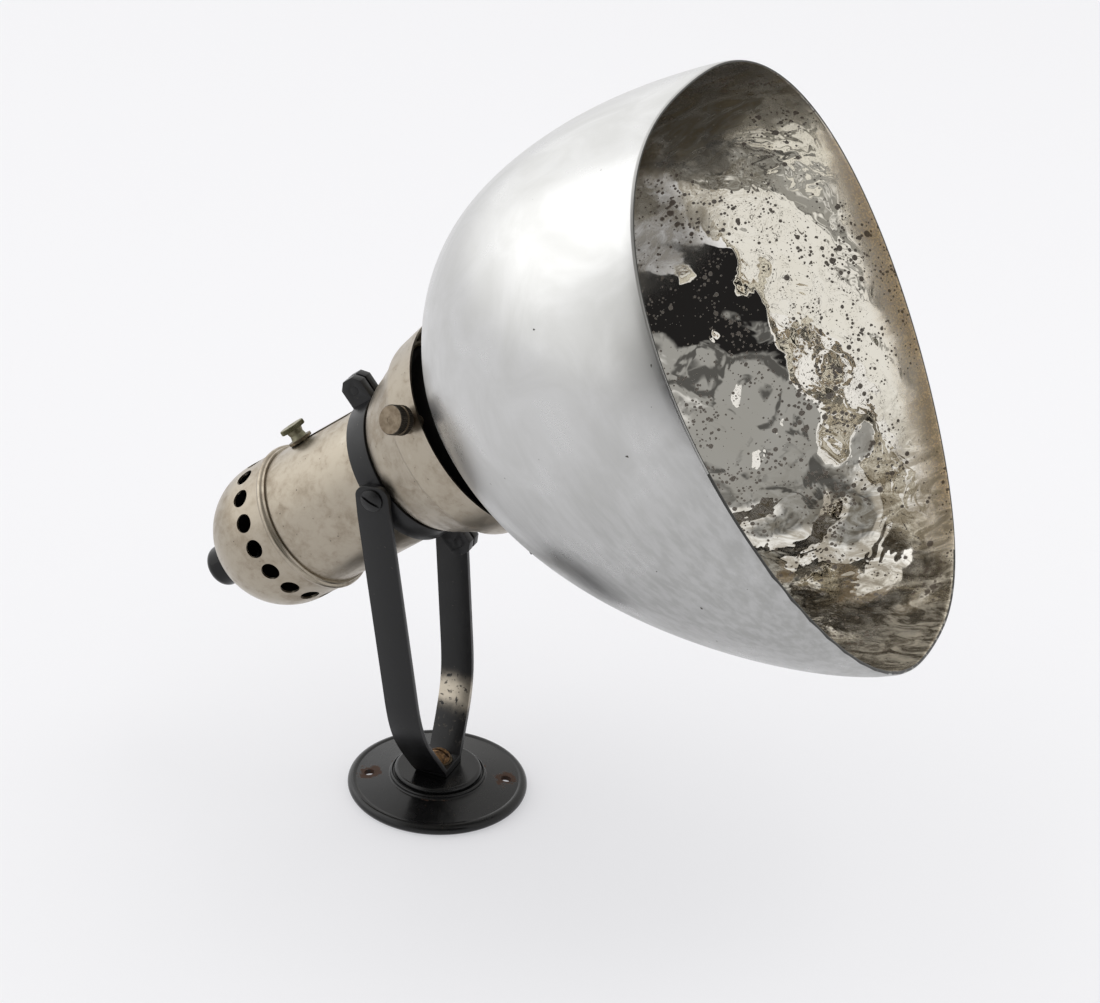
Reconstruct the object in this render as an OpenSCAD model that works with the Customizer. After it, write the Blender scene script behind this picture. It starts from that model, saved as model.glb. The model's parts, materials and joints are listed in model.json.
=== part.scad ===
// Dental operating light: a silvered blown-glass scoop reflector held by a screw-fitted
// gallery on a ventilated lamp housing, which tilts in a strap yoke that swivels on a
// round wall or bench flange.
// The origin is the centre of the flange's underside. +Z is up, +X is the way the head
// points, and Y is the tilt axis. In the head's own frame +Z runs forward along the lamp
// axis and -X is the upper side. Angles round the head start at the -Y side and rise
// towards the upper side.

/* [Pose] */
// Upward tilt of the lamp axis at rest
head_tilt = 39.4; // [25:0.1:50]
// Height of the tilt axis
pivot_z = 158.8; // [156:0.1:162]
// How far the yoke leans back at the tilt axis
pivot_back = 17.4; // [10:0.1:18]

/* [Base flange] */
// Outside diameter of the flange
flange_d = 80; // [78:1:84]
// Diameter of the rolled rim's bead
rim_d = 5.2; // [4.5:0.1:5.6]
// Height of the hub's flat top
hub_h = 11; // [10.5:0.1:11.2]
// Diameter of the hub's upper disc
hub_d = 38.8; // [36:0.1:40]
// Pitch circle of the fixing holes
fixing_pcd = 61; // [58:0.5:63]
// Diameter of the fixing holes
fixing_d = 4.6; // [4:0.1:5]
// Turn of the fixing holes from the X axis
fixing_turn = 22; // [0:1:90]
// Diameter of the swivel screw
swivel_d = 6; // [5:0.1:6.5]

/* [Yoke] */
// Width of the strap
strap_w = 15; // [14:0.1:16]
// Thickness of the strap
strap_t = 2.4; // [2:0.1:2.6]
// Half of the yoke's width at the tilt axis, to the middle of the strap
yoke_half = 36.2; // [36:0.1:36.6]
// Diameter of the pivot screws
pivot_d = 5; // [4:0.1:5.5]

/* [Lamp housing] */
// Outside diameter of the housing tube
shell_d = 62.6; // [62:0.1:62.8]
// Wall of the spun brass shells
wall = 1; // [0.8:0.1:1.1]
// Distance from the tilt axis back to the cap's front edge
seam_back = 56.2; // [55:0.1:57]
// Number of vent holes
vent_count = 17; // [12:1:18]
// Diameter of a vent hole
vent_d = 8.2; // [6:0.1:9]
// Bore of the cord bushing
cord_bore_d = 7; // [6:0.1:8]
// Travel of the focusing carriage
focus_travel = 28; // [20:1:28]

/* [Gallery] */
// Diameter of the gallery's open edge
gallery_d = 97; // [96:0.1:98]
// Distance from the tilt axis to the gallery's open edge
gallery_reach = 47; // [46:0.1:48]
// Diameter of the thumbscrew heads
thumb_d = 12.4; // [11:0.1:13]

/* [Reflector] */
// Outside diameter of the glass neck's lip
neck_d = 82.6; // [81:0.1:83]
// Thickness of the glass
glass_t = 2; // [1.8:0.1:2.4]
// Half of the mouth's width
mouth_half = 110; // [100:1:115]

/* [Hidden] */
$fn = 72;

gap = 0.3;          // air between pieces that move past each other
fit = 0.05;         // radial clearance of a running fit
eps = 0.01;         // overlap that lets a cut break through

// Finishes
nickel = "#b3aca2";
enamel = "#1b1b1c";
dark_brass = "#5d5546";
brass = "#a8894a";
porcelain = "#e9e4d8";

// Base
rim_r = rim_d / 2;
web_h = 6.9;        // top of the web beside the hub
step_w = 1.8;       // width of the step round the hub's foot
step_h = 8.8;
web_t = 1.9;
boss_r = 9;
boss_z = 5;         // underside of the hub's inner boss

// Yoke
foot_z = hub_h + gap + strap_t / 2;
lean = atan(pivot_back / (pivot_z - foot_z));
arm_len = (pivot_z - foot_z) / cos(lean);
foot_half = 7;      // half of the flat foot
knee = [29, 50];    // where the splayed part turns into the straight arm
strap_steps = 14;
washer_r = 6.2;
arm_end = 8;        // the arm runs upright from this far below the tilt axis
end_reach = 5.8;    // how far the arm goes on above it
end_corner = 4.6;
screw_head_r = 4.8;

// Head
shell_r = shell_d / 2;
bore_r = shell_r - wall;
band_w = 10;
band_in = shell_r + fit;
band_out = band_in + 1.8;
lug_w = 11;
lug_reach = 44.5;
lug_t = 4;
lug_gap = 1.2;
bolt_r = 2;
bolt_out = 39;      // distance of the collar bolts from the lamp axis
pad_r = 5.2;        // round pad that takes a pivot screw
pad_out = yoke_half - strap_t / 2 - gap;

tube_back = -seam_back - 5;
tube_front = 12;
bead_r = shell_r + 2.4;
dome_r = shell_r + 1.3;
dome_z = -75;
vent_z = -70.4;
vent_first = 8.7;
bush_neck_r = 6.6;
bush_r = 9.4;
bush_edge = 4.2;    // radius of the bushing's rounded rear edge
bush_len = 11.2;
dome_pole = dome_z - dome_r;

slot_w = 5.7;
slot_rear = -41.2;  // the focusing screw's place at rest
focus_r = 2.5;

neck_start = band_w / 2 + 0.8;
drum_back = 29;
drum_r = 44.6;      // radius of the drum's rear corner
drum_step = 1.1;    // the drum stands this far proud of the cone behind it
edge_r = gallery_d / 2;
thumb_z = 40.3;
thumb_angles = [27, 153, -80];

// Focusing carriage and lamp socket
car_len = 14;
car_z = slot_rear - car_len / 2;
sock_r = 19;
sock_len = 30;
sleeve_r = 13.9;
sleeve_len = 22;
cap_r = 13.1;

// Reflector outline in the head's symmetry plane, as [along the axis, upwards]
neck_r = neck_d / 2;
throat_z = 48.8;
groove_r = neck_r - 2.6;
top_line = [[throat_z, neck_r - 0.3], [81.6, 80.2], [118.6, 102.9], [208, 77.2]];
low_line = [[throat_z, -neck_r + 0.3], [53.8, -94.5], [140.6, -160.9], [165.1, -168.5]];
side_line = [neck_r - 0.3, 81.5, 130, mouth_half];
lopsided = 0.185;   // how far the mouth's widest place lies below its middle
fullness = 0.8;     // below 1 the mouth is fuller than an ellipse
loft_rows = 24;
loft_cols = 56;

function arc(c, r, a, b, n = 8) =
    [for (i = [0:n]) c + r * [cos(a + (b - a) * i / n), sin(a + (b - a) * i / n)]];

function bezier(p, t) =
    pow(1 - t, 3) * p[0] + 3 * pow(1 - t, 2) * t * p[1]
    + 3 * (1 - t) * t * t * p[2] + t * t * t * p[3];

function unit(v) = v / norm(v);

// The line moved sideways by d along its own normals
function beside(line, d) = [for (i = [0:len(line) - 1])
    let(a = line[max(i - 1, 0)], b = line[min(i + 1, len(line) - 1)], t = unit(b - a))
    line[i] + d * [-t[1], t[0]]];

// The head's frame: +Z forward along the lamp axis, -X upwards
module head() {
    translate([-pivot_back, 0, pivot_z]) rotate([0, 90 - head_tilt, 0]) children();
}

// +Z of the children points out from the lamp axis at an angle and a place along it
module outward(angle, z) {
    translate([0, 0, z]) rotate([0, 0, -90 - angle]) rotate([0, 90, 0]) children();
}

// ---- Base ----

module base_flange() {
    rim_c = flange_d / 2 - rim_r;
    hub_r = hub_d / 2;
    profile = concat(
        [[swivel_d / 2 + fit, boss_z], [swivel_d / 2 + fit, hub_h]],
        arc([hub_r - 1.6, hub_h - 1.6], 1.6, 90, 0),
        [[hub_r, step_h - 0.5], [hub_r + 0.5, step_h - 0.5]],
        arc([hub_r + step_w - 0.8, step_h - 0.8], 0.8, 90, 0),
        arc([hub_r + step_w + 1, web_h + 0.9], 1, 180, 270),
        arc([rim_c, rim_r], rim_r, 118, -90, 20),
        [[rim_c - 1.6, 0], [rim_c - 2, rim_r]],
        [[hub_r + 1, web_h - web_t], [hub_r - 1.4, web_h - web_t]],
        [[hub_r - 2, hub_h - 2.4], [boss_r, hub_h - 2.4], [boss_r, boss_z]]
    );
    color(enamel) difference() {
        rotate_extrude() polygon(profile);
        for (turn = [0, 180])
            rotate([0, 0, fixing_turn + turn]) translate([fixing_pcd / 2, 0, -eps])
                cylinder(h = hub_h, d = fixing_d);
    }
}

module swivel_screw() {
    head_z = foot_z + strap_t / 2 + gap + 1;
    color(dark_brass) difference() {
        union() {
            translate([0, 0, 0.8]) cylinder(h = head_z - 0.8, d = swivel_d);
            translate([0, 0, head_z]) cylinder(h = 1.6, r = 5.2);
            translate([0, 0, head_z + 1.6]) rotate_extrude()
                polygon(concat([[0, 0]], arc([0, -3.4], 6.2, 33.2, 90)));
        }
        translate([-6, -0.6, head_z + 1.4]) cube([12, 1.2, 4]);
    }
}

module swivel_washer() {
    color(dark_brass) translate([0, 0, foot_z + strap_t / 2 + gap]) difference() {
        cylinder(h = 1, r = washer_r);
        translate([0, 0, -eps]) cylinder(h = 2, r = swivel_d / 2 + fit);
    }
}

module friction_washer() {
    color(nickel) translate([0, 0, boss_z - 0.8]) difference() {
        cylinder(h = 0.8, r = 8);
        translate([0, 0, -eps]) cylinder(h = 2, r = swivel_d / 2 + fit);
    }
}

module swivel_nut() {
    color(dark_brass) translate([0, 0, 1]) difference() {
        cylinder(h = boss_z - 1.8, r = 5.8, $fn = 6);
        translate([0, 0, -eps]) cylinder(h = 5, r = swivel_d / 2 + fit, $fn = 72);
    }
}

// ---- Yoke ----

// Middle line of one arm, from the foot's edge to the rounded end, as [out, up]
function arm_line() = concat(
    [for (i = [0:strap_steps])
        bezier([[foot_half, 0], [23.5, 23], [knee[0] - 1.6, knee[1] - 23], knee],
               i / strap_steps)],
    [[yoke_half, arm_len - arm_end], [yoke_half, arm_len + strap_w]]
);

function mirrored(line) = [for (i = [len(line) - 1:-1:0]) [-line[i][0], line[i][1]]];

module strap_outline() {
    whole = concat(mirrored(arm_line()), arm_line());
    n = len(whole);
    inner = beside(whole, strap_t / 2);
    outer = beside(whole, -strap_t / 2);
    polygon(concat(inner, [for (i = [n - 1:-1:0]) outer[i]]));
}

// Side view of the arms, upright, with the eased corners of their upper end
module arm_side() {
    half = strap_w / 2;
    top = arm_len + end_reach;
    polygon(concat(
        [[-half, -2 * strap_w], [half, -2 * strap_w]],
        arc([half - end_corner, top - end_corner], end_corner, 0, 90),
        arc([end_corner - half, top - end_corner], end_corner, 90, 180)
    ));
}

module yoke_strap() {
    deep = 4 * strap_w;
    foot_half_w = foot_half + 0.9;
    color(enamel) difference() {
        intersection() {
            union() {
                translate([0, 0, foot_z]) rotate([0, -lean, 0])
                    translate([-strap_w, 0, 0]) rotate([90, 0, 90])
                        linear_extrude(2 * strap_w) strap_outline();
                translate([-strap_w, -foot_half_w, foot_z - strap_t / 2])
                    cube([2 * strap_w, 2 * foot_half_w, strap_t]);
            }
            translate([0, 0, foot_z]) rotate([0, -lean, 0]) rotate([90, 0, 0])
                translate([0, 0, -2 * deep]) linear_extrude(4 * deep) arm_side();
        }
        // flat underside, the washer's seat, the swivel hole and the eyes
        translate([-deep / 2, -deep / 2, foot_z - strap_t / 2 - deep]) cube(deep);
        translate([0, 0, foot_z + strap_t / 2]) cylinder(h = hub_h, r = washer_r + gap);
        translate([0, 0, -eps]) cylinder(h = 2 * hub_h, r = swivel_d / 2 + fit);
        translate([-pivot_back, 2 * deep, pivot_z]) rotate([90, 0, 0])
            cylinder(h = 4 * deep, r = pivot_d / 2 + fit);
    }
}

// ---- Tilting head: collar ----

module pivot_screws() {
    head_out = yoke_half + strap_t / 2 + gap;
    color(enamel) for (turn = [0, 180])
        head() rotate([0, 0, turn]) rotate([90, 0, 0]) difference() {
            union() {
                translate([0, 0, band_in + 0.3])
                    cylinder(h = head_out - band_in, d = pivot_d);
                translate([0, 0, head_out]) cylinder(h = 0.6, r = screw_head_r);
                translate([0, 0, head_out + 0.6]) rotate_extrude()
                    polygon(concat([[0, 0]], arc([0, -8.2], 9.5, 59.65, 90)));
            }
            rotate([0, 0, 28]) translate([-6, -0.55, head_out + 0.7]) cube([12, 1.1, 4]);
        }
}

// One half of the strap collar, on the +Y or -Y side of the head's symmetry plane
module collar_half(side) {
    mirror([0, side < 0 ? 1 : 0, 0]) difference() {
        union() {
            difference() {
                translate([0, 0, -band_w / 2]) cylinder(h = band_w, r = band_out);
                translate([-50, -50 + lug_gap / 2, -10]) cube([100, 50, 20]);
            }
            rotate([-90, 0, 0]) cylinder(h = pad_out, r = pad_r);
            for (up = [-1, 1]) translate([0, lug_gap / 2, 0]) rotate([-90, 0, 0])
                linear_extrude(lug_t) polygon([
                    [up * (band_in - 1), -lug_w / 2], [up * (lug_reach - 3), -lug_w / 2],
                    [up * lug_reach, -lug_w / 2 + 3], [up * lug_reach, lug_w / 2 - 3],
                    [up * (lug_reach - 3), lug_w / 2], [up * (band_in - 1), lug_w / 2]
                ]);
        }
        translate([0, 0, -20]) cylinder(h = 40, r = band_in);
        rotate([-90, 0, 0]) cylinder(h = 50, r = pivot_d / 2 + fit);
        for (up = [-1, 1]) translate([up * bolt_out, -1, 0]) rotate([-90, 0, 0])
            cylinder(h = 20, r = bolt_r + fit);
    }
}

module collar_near() {
    color(enamel) head() collar_half(-1);
}

module collar_far() {
    color(enamel) head() collar_half(1);
}

module collar_bolts() {
    half = lug_gap / 2 + lug_t;
    color(enamel) for (up = [-1, 1])
        head() translate([up * bolt_out, 0, 0]) rotate([-90, 0, 0]) difference() {
            union() {
                translate([0, 0, -half]) cylinder(h = 2 * half, r = bolt_r);
                translate([0, 0, half]) cylinder(h = 2.4, r = 3.6);
            }
            translate([-5, -0.5, half + 1.2]) cube([10, 1, 3]);
        }
}

// ---- Tilting head: housing ----

module housing_tube() {
    color(nickel) head() difference() {
        rotate_extrude() polygon([
            [bore_r, tube_back], [shell_r, tube_back], [shell_r, tube_front],
            [bore_r, tube_front]
        ]);
        for (z = [slot_rear - gap, slot_rear + focus_travel + gap])
            outward(90, z) cylinder(h = 50, d = slot_w);
        translate([-50, -slot_w / 2, slot_rear - gap])
            cube([50, slot_w, focus_travel + 2 * gap]);
    }
}

module vent_cap() {
    front = -seam_back;
    inside_r = dome_r - wall;
    profile = concat(
        [[band_in, front], [shell_r + 0.9, front]],
        arc([bead_r - 1.7, front - 2.4], 1.7, 70, -70),
        [[dome_r, front - 5.6]],
        arc([0, dome_z], dome_r, 0, -acos((bush_neck_r + fit) / dome_r), 24),
        arc([0, dome_z], inside_r, -acos((bush_neck_r + fit) / inside_r), 0, 24),
        [[inside_r, front - 6.4], [band_in, front - 6.4]]
    );
    color(nickel) head() difference() {
        rotate_extrude() polygon(profile);
        for (i = [0:vent_count - 1])
            outward(vent_first + i * 360 / vent_count, vent_z)
                translate([0, 0, dome_r - vent_d]) cylinder(h = 2 * vent_d, d = vent_d);
    }
}

module cord_bushing() {
    back = dome_pole - 0.6;
    front_edge = 1.2;
    profile = concat(
        [[cord_bore_d / 2, dome_pole + 9], [bush_neck_r, dome_pole + 9]],
        [[bush_neck_r, back]],
        arc([bush_r - front_edge, back - front_edge], front_edge, 90, 0, 8),
        arc([bush_r - bush_edge, back - bush_len + bush_edge], bush_edge, 0, -90, 12),
        arc([cord_bore_d / 2 + front_edge, back - bush_len + front_edge], front_edge, -90, -180)
    );
    color(enamel) head() rotate_extrude() polygon(profile);
}

// Spun neck that rolls out from the tube and then widens to carry the gallery
module holder_neck() {
    roll = [[shell_r + 1.2, neck_start], [shell_r + 3.9, neck_start + 3],
        [shell_r + 5.3, neck_start + 6.2], [shell_r + 6.9, neck_start + 10.7]];
    rim = drum_r - drum_step;
    outer = concat([for (i = [0:10]) bezier(roll, i / 10)], [[rim, drum_back]]);
    inner = beside(outer, wall);
    color(nickel) head() rotate_extrude() polygon(concat(
        outer, [[rim - 1.1 * wall, drum_back]],
        [for (i = [len(inner) - 2:-1:0]) inner[i]],
        [[band_in, neck_start + 1], [band_in, neck_start]]
    ));
}

module gallery_ring() {
    taper = (edge_r - drum_r - 0.8) / (gallery_reach - drum_back - 2.5);
    lip = 0.7;
    profile = concat(
        [[drum_r - drum_step - wall, drum_back + eps]],
        [[drum_r - 0.5, drum_back + eps], [drum_r + 0.2, drum_back + 0.7]],
        [[drum_r + 0.8, drum_back + 2.5], [edge_r, gallery_reach]],
        [[edge_r - wall, gallery_reach], [drum_r + 0.8 - wall, drum_back + 2.5]],
        [[drum_r - wall, drum_back + wall], [drum_r - drum_step - wall, drum_back + wall]]
    );
    seat_r = drum_r + 0.8 + taper * (thumb_z - drum_back - 2.5);
    color(nickel) head() difference() {
        union() {
            rotate_extrude() polygon(profile);
            for (angle = thumb_angles) outward(angle, thumb_z)
                translate([0, 0, seat_r - wall - 2]) cylinder(h = 2.4 + lip, r = 4.4);
        }
        for (angle = thumb_angles) outward(angle, thumb_z)
            translate([0, 0, groove_r]) cylinder(h = 20, r = focus_r + fit);
    }
}

// ---- Focusing carriage, lamp socket and bulb ----

module carriage() {
    color(brass) head() difference() {
        translate([0, 0, car_z]) rotate_extrude() polygon([
            [sock_r - 5, 0], [bore_r - fit, 0], [bore_r - fit, car_len],
            [bore_r - 2.6, car_len], [bore_r - 2.6, 1.6], [sock_r - 5, 1.6]
        ]);
        outward(90, slot_rear) cylinder(h = 50, r = focus_r + fit);
    }
}

module focus_washer() {
    color(dark_brass) head() outward(90, slot_rear) translate([0, 0, shell_r + gap])
        difference() {
            cylinder(h = 1.2, r = 5.4);
            translate([0, 0, -eps]) cylinder(h = 2, r = focus_r + fit);
        }
}

// Thumbscrew along +Z: shank from tip_z, waisted neck, then a flat milled head
module flat_thumbscrew(tip_z, neck_z, head_z, head_r, head_t) {
    rotate_extrude() polygon([
        [0, tip_z], [focus_r - 0.5, tip_z], [focus_r, tip_z + 0.5], [focus_r, neck_z],
        [focus_r + 1.2, neck_z], [focus_r + 0.6, (neck_z + head_z) / 2],
        [focus_r + 1.2, head_z], [head_r - 0.3, head_z], [head_r, head_z + 0.3],
        [head_r, head_z + head_t - 0.3], [head_r - 0.3, head_z + head_t],
        [0, head_z + head_t]
    ]);
}

module focus_screw() {
    color(dark_brass) head() outward(90, slot_rear)
        flat_thumbscrew(bore_r - 3.4, shell_r + gap + 1.3, shell_r + 5.9, 5.7, 2.1);
}

module socket_body() {
    back = car_z + 1.6;
    color(porcelain) head() difference() {
        translate([0, 0, back]) rotate_extrude() polygon(concat(
            [[0, 0], [sock_r, 0]], arc([sock_r - 1.5, sock_len - 1.5], 1.5, 0, 90),
            [[sleeve_r + fit, sock_len], [sleeve_r + fit, sock_len - sleeve_len],
             [0, sock_len - sleeve_len]]
        ));
        for (side = [-1, 1]) translate([0, side * 8, back - eps]) cylinder(h = 4, r = 2.2);
        translate([0, 0, back - eps]) cylinder(h = 12, r = 1.6);
    }
}

module socket_sleeve() {
    front = car_z + 1.6 + sock_len;
    color(brass) head() rotate_extrude() polygon([
        [sleeve_r - 0.5, front - sleeve_len + 1], [sleeve_r, front - sleeve_len + 1],
        [sleeve_r, front - 1], [sleeve_r - 0.5, front - 1]
    ]);
}

module centre_contact() {
    floor_z = car_z + 1.6 + sock_len - sleeve_len;
    color(brass) head() union() {
        translate([0, 0, floor_z - 8]) cylinder(h = 9, r = 1.5);
        translate([0, 0, floor_z]) cylinder(h = 1.2, r = 4);
    }
}

module terminal_screws() {
    color(brass) for (side = [-1, 1]) head() translate([0, side * 8, car_z - 0.8])
        difference() {
            union() {
                cylinder(h = 5.4, r = 1.9);
                translate([0, 0, -1.4]) cylinder(h = 1.8, r = 3.2);
            }
            translate([-4, -0.4, -1.5]) cube([8, 0.8, 1]);
        }
}

// Ring that clamps the socket to the carriage's floor
module socket_nut() {
    color(brass) head() translate([0, 0, car_z + 1.6]) difference() {
        cylinder(h = 3, r = sock_r + 3);
        translate([0, 0, -eps]) cylinder(h = 4, r = sock_r + fit);
    }
}

bulb_back = car_z + 1.6 + sock_len - sleeve_len + 1.6;  // the bulb's contact
bulb_seat = bulb_back + 26;                             // where the glass meets its cap
globe_z = bulb_seat + 38;
globe_r = 27;

module bulb_contact() {
    color(dark_brass) head() translate([0, 0, bulb_back]) cylinder(h = 1.6, r = 4);
}

module bulb_cap() {
    color(brass) head() rotate_extrude() polygon([
        [5, bulb_back + 1.6], [9, bulb_back + 1.6], [cap_r - 0.2, bulb_back + 4],
        [cap_r - 0.2, bulb_seat + 2], [cap_r - 0.7, bulb_seat + 2],
        [cap_r - 0.7, bulb_back + 4.4], [8.8, bulb_back + 2.2], [5, bulb_back + 2.2]
    ]);
}

// The bulb's outline grown by d: a neck that opens smoothly into a round globe
function bulb_line(d) = concat(
    [for (i = [0:8]) bezier([[cap_r - 1.2 + d, bulb_seat - 4], [cap_r - 1.2 + d, bulb_seat + 10],
        [16 + d, bulb_seat + 15], (globe_r + d) * [cos(-38), sin(-38)] + [0, globe_z]], i / 8)],
    arc([0, globe_z], globe_r + d, -34, 90, 20)
);

module bulb_glass() {
    inside = bulb_line(-0.8);
    n = len(inside);
    color("#dfe7e8", 0.4) head() rotate_extrude() polygon(concat(
        bulb_line(0), [for (i = [n - 1:-1:0]) [max(inside[i][0], 0), inside[i][1]]]
    ));
}

module bulb_stem() {
    color("#dfe7e8", 0.6) head() translate([0, 0, bulb_seat - 4]) rotate_extrude() polygon([
        [0, 0], [10.8, 0], [10.8, 1], [4, 6], [3, 22], [4.2, 24], [4.2, 26], [0, 26]
    ]);
}

// Two lead wires and a zigzag tungsten wire between them, drawn as one flat wire
module filament() {
    base_z = bulb_seat + 22.5;
    loops = 6;
    half = 9;           // half of the zigzag's width
    drop = 6;           // height of one loop
    wire_r = 0.4;
    path = concat(
        [[-1.5, base_z], [-half, globe_z - 2 * drop]],
        [for (i = [0:loops]) [-half + 2 * half * i / loops, globe_z - ((i + 1) % 2) * drop]],
        [[half, globe_z - 2 * drop], [1.5, base_z]]
    );
    n = len(path);
    left = beside(path, wire_r);
    right = beside(path, -wire_r);
    color(dark_brass) head() rotate([90, 0, 90]) translate([0, 0, -wire_r])
        linear_extrude(2 * wire_r) polygon(concat(left, [for (i = [n - 1:-1:0]) right[i]]));
}

// ---- Gallery thumbscrews ----

// Barrel-headed thumbscrew with a groove round its milled head, along +Z
module barrel_thumbscrew() {
    tip_z = groove_r + 0.4;
    head_z = edge_r + 0.7;
    head_end = head_z + 8.4;
    head_r = thumb_d / 2;
    groove_z = head_z + 3.4;
    color(dark_brass) rotate_extrude() polygon([
        [0, tip_z], [focus_r - 0.6, tip_z], [focus_r, tip_z + 0.6], [focus_r, head_z - 0.5],
        [head_r - 2, head_z - 0.5], [head_r - 1.6, head_z + 0.6], [head_r - 0.5, head_z + 0.6],
        [head_r, head_z + 1.1], [head_r, groove_z], [head_r - 0.8, groove_z + 0.3],
        [head_r - 0.8, groove_z + 1], [head_r, groove_z + 1.3], [head_r, head_end - 0.5],
        [head_r - 0.5, head_end], [0, head_end]
    ]);
}

module thumbscrew_near() {
    head() outward(thumb_angles[0], thumb_z) barrel_thumbscrew();
}

module thumbscrew_far() {
    head() outward(thumb_angles[1], thumb_z) barrel_thumbscrew();
}

module thumbscrew_low() {
    head() outward(thumb_angles[2], thumb_z) barrel_thumbscrew();
}

// ---- Reflector ----

// Outer surface: rings of the glass neck, then sections that fan out from the throat to
// the slanting mouth. A point is [down, across, along] in the head's frame.
neck_rings = [
    [throat_z - 17, neck_r - 0.8], [throat_z - 16, neck_r], [throat_z - 14, neck_r],
    [throat_z - 12.6, groove_r + 0.4], [throat_z - 11, groove_r], [throat_z - 5, groove_r],
    [throat_z - 2.4, groove_r + 0.8]
];

function ring_point(r, z, a) = [-r * cos(a), r * sin(a), z];

function loft_point(t, a) =
    let(top = bezier(top_line, t), low = bezier(low_line, t), half = bezier(side_line, t),
        mid = (top + low) / 2, reach = (top - low) / 2,
        power = 1 + (fullness - 1) * t,
        across = half * sign(sin(a)) * pow(abs(sin(a)), power) * (1 + lopsided * t * cos(a)),
        place = mid + reach * cos(a))
    [-place[1], across, place[0]];

function outer_row(i) = i < len(neck_rings)
    ? [for (j = [0:loft_cols - 1])
        ring_point(neck_rings[i][1], neck_rings[i][0], j * 360 / loft_cols)]
    : [for (j = [0:loft_cols - 1])
        loft_point((i - len(neck_rings)) / loft_rows, j * 360 / loft_cols)];

module reflector() {
    rows = len(neck_rings) + loft_rows + 1;
    cols = loft_cols;
    outer = [for (i = [0:rows - 1]) outer_row(i)];
    inner = [for (i = [0:rows - 1]) [for (j = [0:cols - 1])
        let(u = outer[min(i + 1, rows - 1)][j] - outer[max(i - 1, 0)][j],
            v = outer[i][(j + 1) % cols] - outer[i][(j + cols - 1) % cols],
            n = unit(cross(v, u)))
        outer[i][j] + glass_t * n]];
    points = concat([for (row = outer) each row], [for (row = inner) each row]);
    half = rows * cols;
    faces = concat(
        [for (i = [0:rows - 2], j = [0:cols - 1]) let(k = (j + 1) % cols, a = i * cols)
            each [[a + j, a + cols + j, a + cols + k], [a + j, a + cols + k, a + k]]],
        [for (i = [0:rows - 2], j = [0:cols - 1])
            let(k = (j + 1) % cols, a = half + i * cols)
            each [[a + j, a + cols + k, a + cols + j], [a + j, a + k, a + cols + k]]],
        [for (j = [0:cols - 1]) let(k = (j + 1) % cols)
            each [[j, k, half + k], [j, half + k, half + j]]],
        [for (j = [0:cols - 1]) let(k = (j + 1) % cols, a = (rows - 1) * cols)
            each [[a + j, a + half + k, a + k], [a + j, a + half + j, a + half + k]]]
    );
    color("#c9cacb") head() polyhedron(points, faces, convexity = 6);
}

base_flange();
swivel_screw();
swivel_washer();
friction_washer();
swivel_nut();
yoke_strap();
pivot_screws();
collar_near();
collar_far();
collar_bolts();
housing_tube();
vent_cap();
cord_bushing();
holder_neck();
gallery_ring();
carriage();
focus_washer();
focus_screw();
socket_body();
socket_sleeve();
centre_contact();
terminal_screws();
socket_nut();
bulb_cap();
bulb_contact();
bulb_glass();
bulb_stem();
filament();
thumbscrew_near();
thumbscrew_far();
thumbscrew_low();
reflector();
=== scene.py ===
import json
import math

import bpy
from mathutils import Matrix, Vector, noise


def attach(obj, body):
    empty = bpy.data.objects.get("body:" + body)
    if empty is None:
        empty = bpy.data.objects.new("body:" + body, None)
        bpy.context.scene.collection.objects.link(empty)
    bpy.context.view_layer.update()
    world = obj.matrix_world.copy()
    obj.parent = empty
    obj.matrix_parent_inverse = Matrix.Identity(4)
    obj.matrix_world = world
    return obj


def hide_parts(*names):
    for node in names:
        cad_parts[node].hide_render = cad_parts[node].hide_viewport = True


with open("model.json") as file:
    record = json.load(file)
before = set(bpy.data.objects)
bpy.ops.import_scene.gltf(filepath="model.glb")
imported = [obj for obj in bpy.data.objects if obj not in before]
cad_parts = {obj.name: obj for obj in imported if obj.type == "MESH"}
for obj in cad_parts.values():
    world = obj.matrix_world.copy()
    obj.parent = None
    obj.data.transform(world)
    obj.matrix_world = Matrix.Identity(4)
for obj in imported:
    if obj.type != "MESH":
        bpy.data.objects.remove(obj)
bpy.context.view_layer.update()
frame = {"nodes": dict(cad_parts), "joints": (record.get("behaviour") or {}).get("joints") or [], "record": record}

MM = 0.001

# The camera looks down at the lamp from its near side, a little towards the mouth, with a
# long lens about a metre and a quarter away.
TARGET = Vector((0.060, 0, 0.150))
DISTANCE = 1.25
AZIMUTH, ELEVATION, ROLL = (math.radians(d) for d in (20.95, 28.76, 3.33))
SENSOR_WIDTH = 36
FOCAL_LENGTH = 98.182
back = Vector((math.sin(AZIMUTH) * math.cos(ELEVATION),
               -math.cos(AZIMUTH) * math.cos(ELEVATION), math.sin(ELEVATION)))
level = Vector((math.cos(AZIMUTH), math.sin(AZIMUTH), 0))
plumb = back.cross(level)
right = math.cos(ROLL) * level + math.sin(ROLL) * plumb
up = back.cross(right)
lens = bpy.data.cameras.new("camera")
lens.sensor_width = SENSOR_WIDTH
lens.lens = FOCAL_LENGTH
lens.shift_x, lens.shift_y = -0.02564, 0.01918
lens.clip_start = 0.05
camera = bpy.data.objects.new("camera", lens)
turn = Matrix((right, up, back)).transposed().to_4x4()
camera.matrix_world = Matrix.Translation(TARGET + DISTANCE * back) @ turn
bpy.context.scene.collection.objects.link(camera)
bpy.context.scene.camera = camera


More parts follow.
